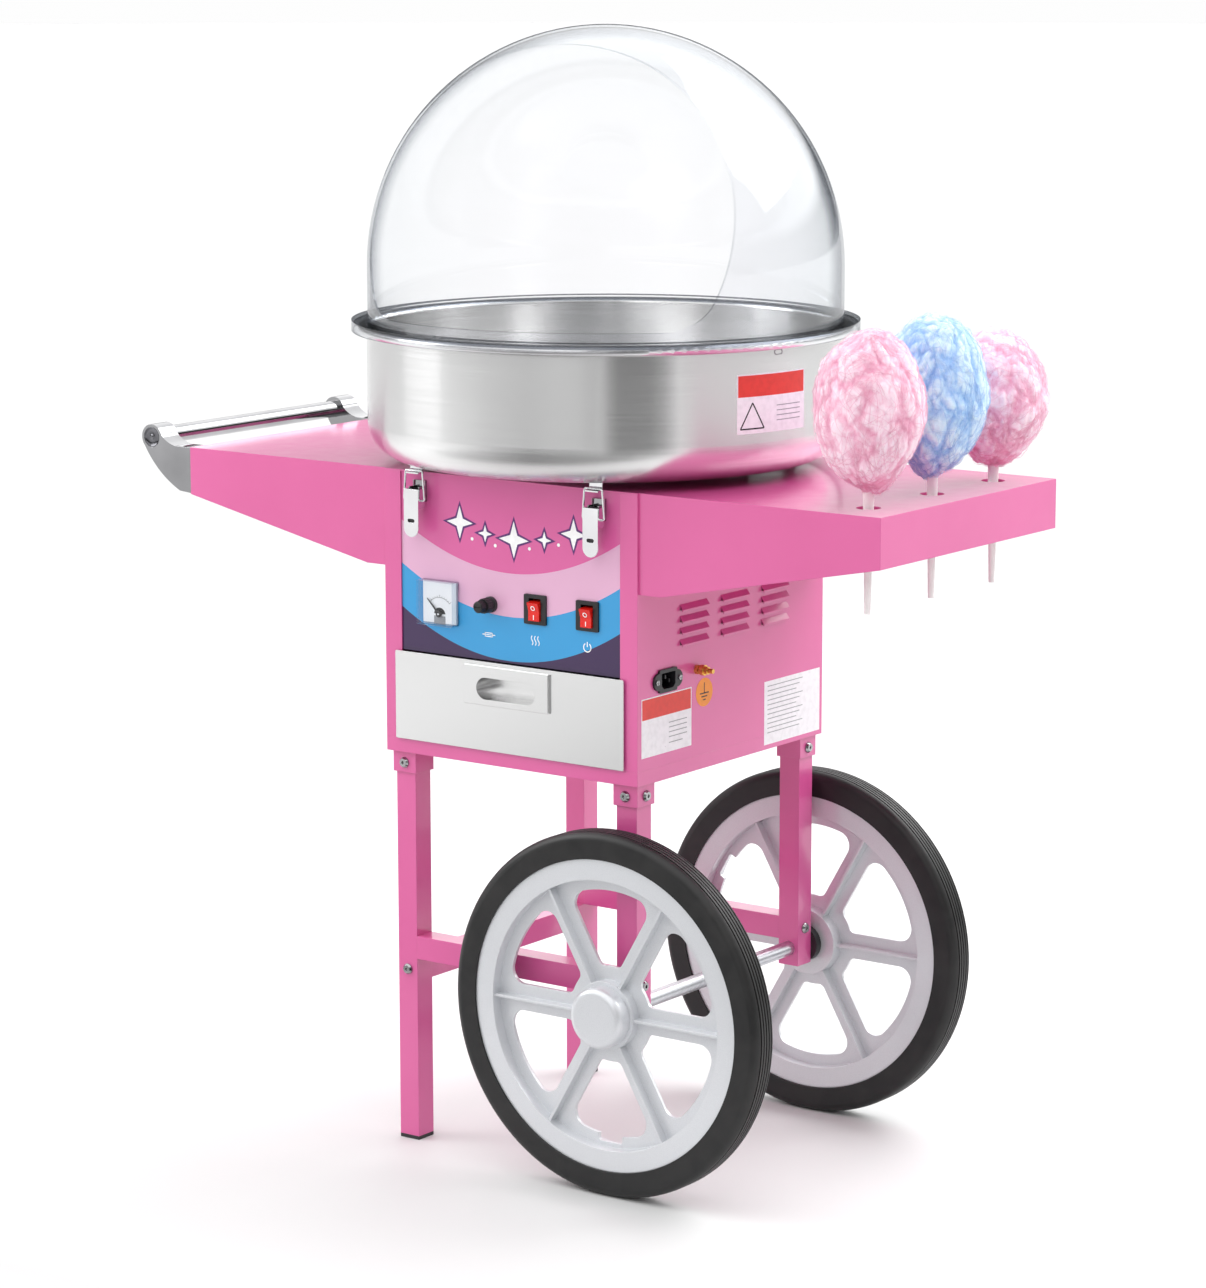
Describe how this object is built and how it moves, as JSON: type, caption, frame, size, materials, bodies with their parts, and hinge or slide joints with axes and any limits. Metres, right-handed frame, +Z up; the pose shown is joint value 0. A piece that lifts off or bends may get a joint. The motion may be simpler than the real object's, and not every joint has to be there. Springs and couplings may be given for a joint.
{
  "type": "cotton candy machine",
  "caption": "Cotton candy machine: spinner bowl with a clear dome on a pink cabinet with drawer, on a cart with push handle, side shelves and spoked wheels.",
  "frame": {"origin": "on the floor, under the middle of the whole machine's bounding box", "axes": "+Z up; -Y is the front with the control panel; +X is the side with the wheels and the cone shelf"},
  "size_m": [0.9621, 0.532, 1.181],
  "materials": {
    "pink_paint": "glossy powder coat",
    "panel_print": "printed gloss panel",
    "steel": "brushed",
    "chrome": "polished",
    "zinc": "zinc plated",
    "rim_paint": "silver painted plastic",
    "tyre": "rubber",
    "black_plastic": "matte",
    "red_plastic": "gloss",
    "clear_plastic": "clear polycarbonate",
    "white_plastic": "gloss",
    "brass": "machined",
    "aluminium": "spun and turned",
    "motor_iron": "painted",
    "paper": "rolled paper",
    "pink_candy": "spun sugar",
    "blue_candy": "spun sugar"
  },
  "bodies": {
    "cart": {"cabinet_shell": "pink_paint", "base_pan": "pink_paint", "top_plate": "pink_paint", "front_panel": "panel_print", "drawer_runners": "zinc", "left_tray": "pink_paint", "right_tray": "pink_paint", "handle_tube": "chrome", "handle_brackets": "chrome", "left_legs": "pink_paint", "right_legs": "pink_paint", "leg_sockets": "pink_paint", "foot_caps": "black_plastic", "crossbars": "pink_paint", "fasteners": "chrome", "axle": "zinc", "wheel_bushings": "black_plastic", "bowl": "steel", "bowl_catches": "chrome", "latch_bases": "chrome", "meter_case": "white_plastic", "meter_window": "clear_plastic", "fuse_holder": "black_plastic", "switch_housings": "black_plastic", "power_inlet": "black_plastic", "ground_post": "brass", "motor": "motor_iron", "brush_holder": "black_plastic"},
    "drawer": {"drawer_box": "steel", "drawer_front": "steel", "drawer_pull": "steel"},
    "front_wheel": {"front_tyre": "tyre", "front_rim": "rim_paint", "front_hub_cap": "rim_paint"},
    "rear_wheel": {"rear_tyre": "tyre", "rear_rim": "rim_paint", "rear_hub_cap": "rim_paint"},
    "dome_cover": {"dome": "clear_plastic"},
    "spinner": {"spinner_shaft": "zinc", "slip_rings": "brass", "spinner_head": "aluminium", "heater_band": "steel"},
    "needle": {"meter_needle": "black_plastic"},
    "fuse_knob": {"fuse_cap": "black_plastic"},
    "heat_key": {"heat_rocker": "red_plastic"},
    "power_key": {"power_rocker": "red_plastic"},
    "candy_front": {"cone_front": "paper", "floss_front": "pink_candy"},
    "candy_middle": {"cone_middle": "paper", "floss_middle": "blue_candy"},
    "candy_rear": {"cone_rear": "paper", "floss_rear": "pink_candy"},
    "lever_front_left": {"latch_lever_front_left": "chrome"},
    "bail_front_left": {"latch_bail_front_left": "chrome"},
    "lever_front_right": {"latch_lever_front_right": "chrome"},
    "bail_front_right": {"latch_bail_front_right": "chrome"},
    "lever_rear_left": {"latch_lever_rear_left": "chrome"},
    "bail_rear_left": {"latch_bail_rear_left": "chrome"},
    "lever_rear_right": {"latch_lever_rear_right": "chrome"},
    "bail_rear_right": {"latch_bail_rear_right": "chrome"}
  },
  "joints": [
    {"name": "front_wheel_spin", "type": "hinge", "parent": "cart", "child": "front_wheel", "pos_m": [0.1665, -0.1885, 0.1905], "axis": [0, 1, 0], "continuous": true},
    {"name": "rear_wheel_spin", "type": "hinge", "parent": "cart", "child": "rear_wheel", "pos_m": [0.1665, 0.1885, 0.1905], "axis": [0, 1, 0], "continuous": true},
    {"name": "drawer_slide", "type": "slide", "parent": "cart", "child": "drawer", "axis": [0, -1, 0], "range_m": [0, 0.2]},
    {"name": "dome_lift", "type": "slide", "parent": "cart", "child": "dome_cover", "axis": [0, 0, 1], "range_m": [0, 0.2]},
    {"name": "spinner_spin", "type": "hinge", "parent": "cart", "child": "spinner", "pos_m": [0.023, 0, 0.741], "axis": [0, 0, 1], "continuous": true},
    {"name": "lever_swing_front_left", "type": "hinge", "parent": "cart", "child": "lever_front_left", "pos_m": [-0.092, -0.177, 0.705], "axis": [-1, 0, 0], "range_deg": [0, 100]},
    {"name": "bail_swing_front_left", "type": "hinge", "parent": "lever_front_left", "child": "bail_front_left", "pos_m": [-0.092, -0.1795, 0.696], "axis": [1, 0, 0], "range_deg": [0, 140]},
    {"name": "lever_swing_front_right", "type": "hinge", "parent": "cart", "child": "lever_front_right", "pos_m": [0.138, -0.177, 0.705], "axis": [-1, 0, 0], "range_deg": [0, 100]},
    {"name": "bail_swing_front_right", "type": "hinge", "parent": "lever_front_right", "child": "bail_front_right", "pos_m": [0.138, -0.1795, 0.696], "axis": [1, 0, 0], "range_deg": [0, 140]},
    {"name": "lever_swing_rear_left", "type": "hinge", "parent": "cart", "child": "lever_rear_left", "pos_m": [-0.092, 0.177, 0.705], "axis": [1, 0, 0], "range_deg": [0, 100]},
    {"name": "bail_swing_rear_left", "type": "hinge", "parent": "lever_rear_left", "child": "bail_rear_left", "pos_m": [-0.092, 0.1795, 0.696], "axis": [-1, 0, 0], "range_deg": [0, 140]},
    {"name": "lever_swing_rear_right", "type": "hinge", "parent": "cart", "child": "lever_rear_right", "pos_m": [0.138, 0.177, 0.705], "axis": [1, 0, 0], "range_deg": [0, 100]},
    {"name": "bail_swing_rear_right", "type": "hinge", "parent": "lever_rear_right", "child": "bail_rear_right", "pos_m": [0.138, 0.1795, 0.696], "axis": [-1, 0, 0], "range_deg": [0, 140]},
    {"name": "needle_turn", "type": "hinge", "parent": "cart", "child": "needle", "pos_m": [-0.066, -0.173, 0.578], "axis": [0, 1, 0], "range_deg": [0, 90]},
    {"name": "fuse_cap_turn", "type": "hinge", "parent": "cart", "child": "fuse_knob", "pos_m": [-0.001, -0.18, 0.594], "axis": [0, -1, 0], "range_deg": [0, 90]},
    {"name": "heat_switch", "type": "hinge", "parent": "cart", "child": "heat_key", "pos_m": [0.057, -0.16, 0.5945], "axis": [-1, 0, 0], "range_deg": [0, 16]},
    {"name": "power_switch", "type": "hinge", "parent": "cart", "child": "power_key", "pos_m": [0.123, -0.16, 0.5945], "axis": [-1, 0, 0], "range_deg": [0, 16]},
    {"name": "candy_lift_front", "type": "slide", "parent": "cart", "child": "candy_front", "axis": [0, 0, 1], "range_m": [0, 0.15]},
    {"name": "candy_lift_middle", "type": "slide", "parent": "cart", "child": "candy_middle", "axis": [0, 0, 1], "range_m": [0, 0.15]},
    {"name": "candy_lift_rear", "type": "slide", "parent": "cart", "child": "candy_rear", "axis": [0, 0, 1], "range_m": [0, 0.15]}
  ],
  "couplings": [
    {"joint": "bail_swing_front_left", "follows": "lever_swing_front_left", "ratio": 1.4},
    {"joint": "bail_swing_front_right", "follows": "lever_swing_front_right", "ratio": 1.4},
    {"joint": "bail_swing_rear_left", "follows": "lever_swing_rear_left", "ratio": 1.4},
    {"joint": "bail_swing_rear_right", "follows": "lever_swing_rear_right", "ratio": 1.4}
  ]
}
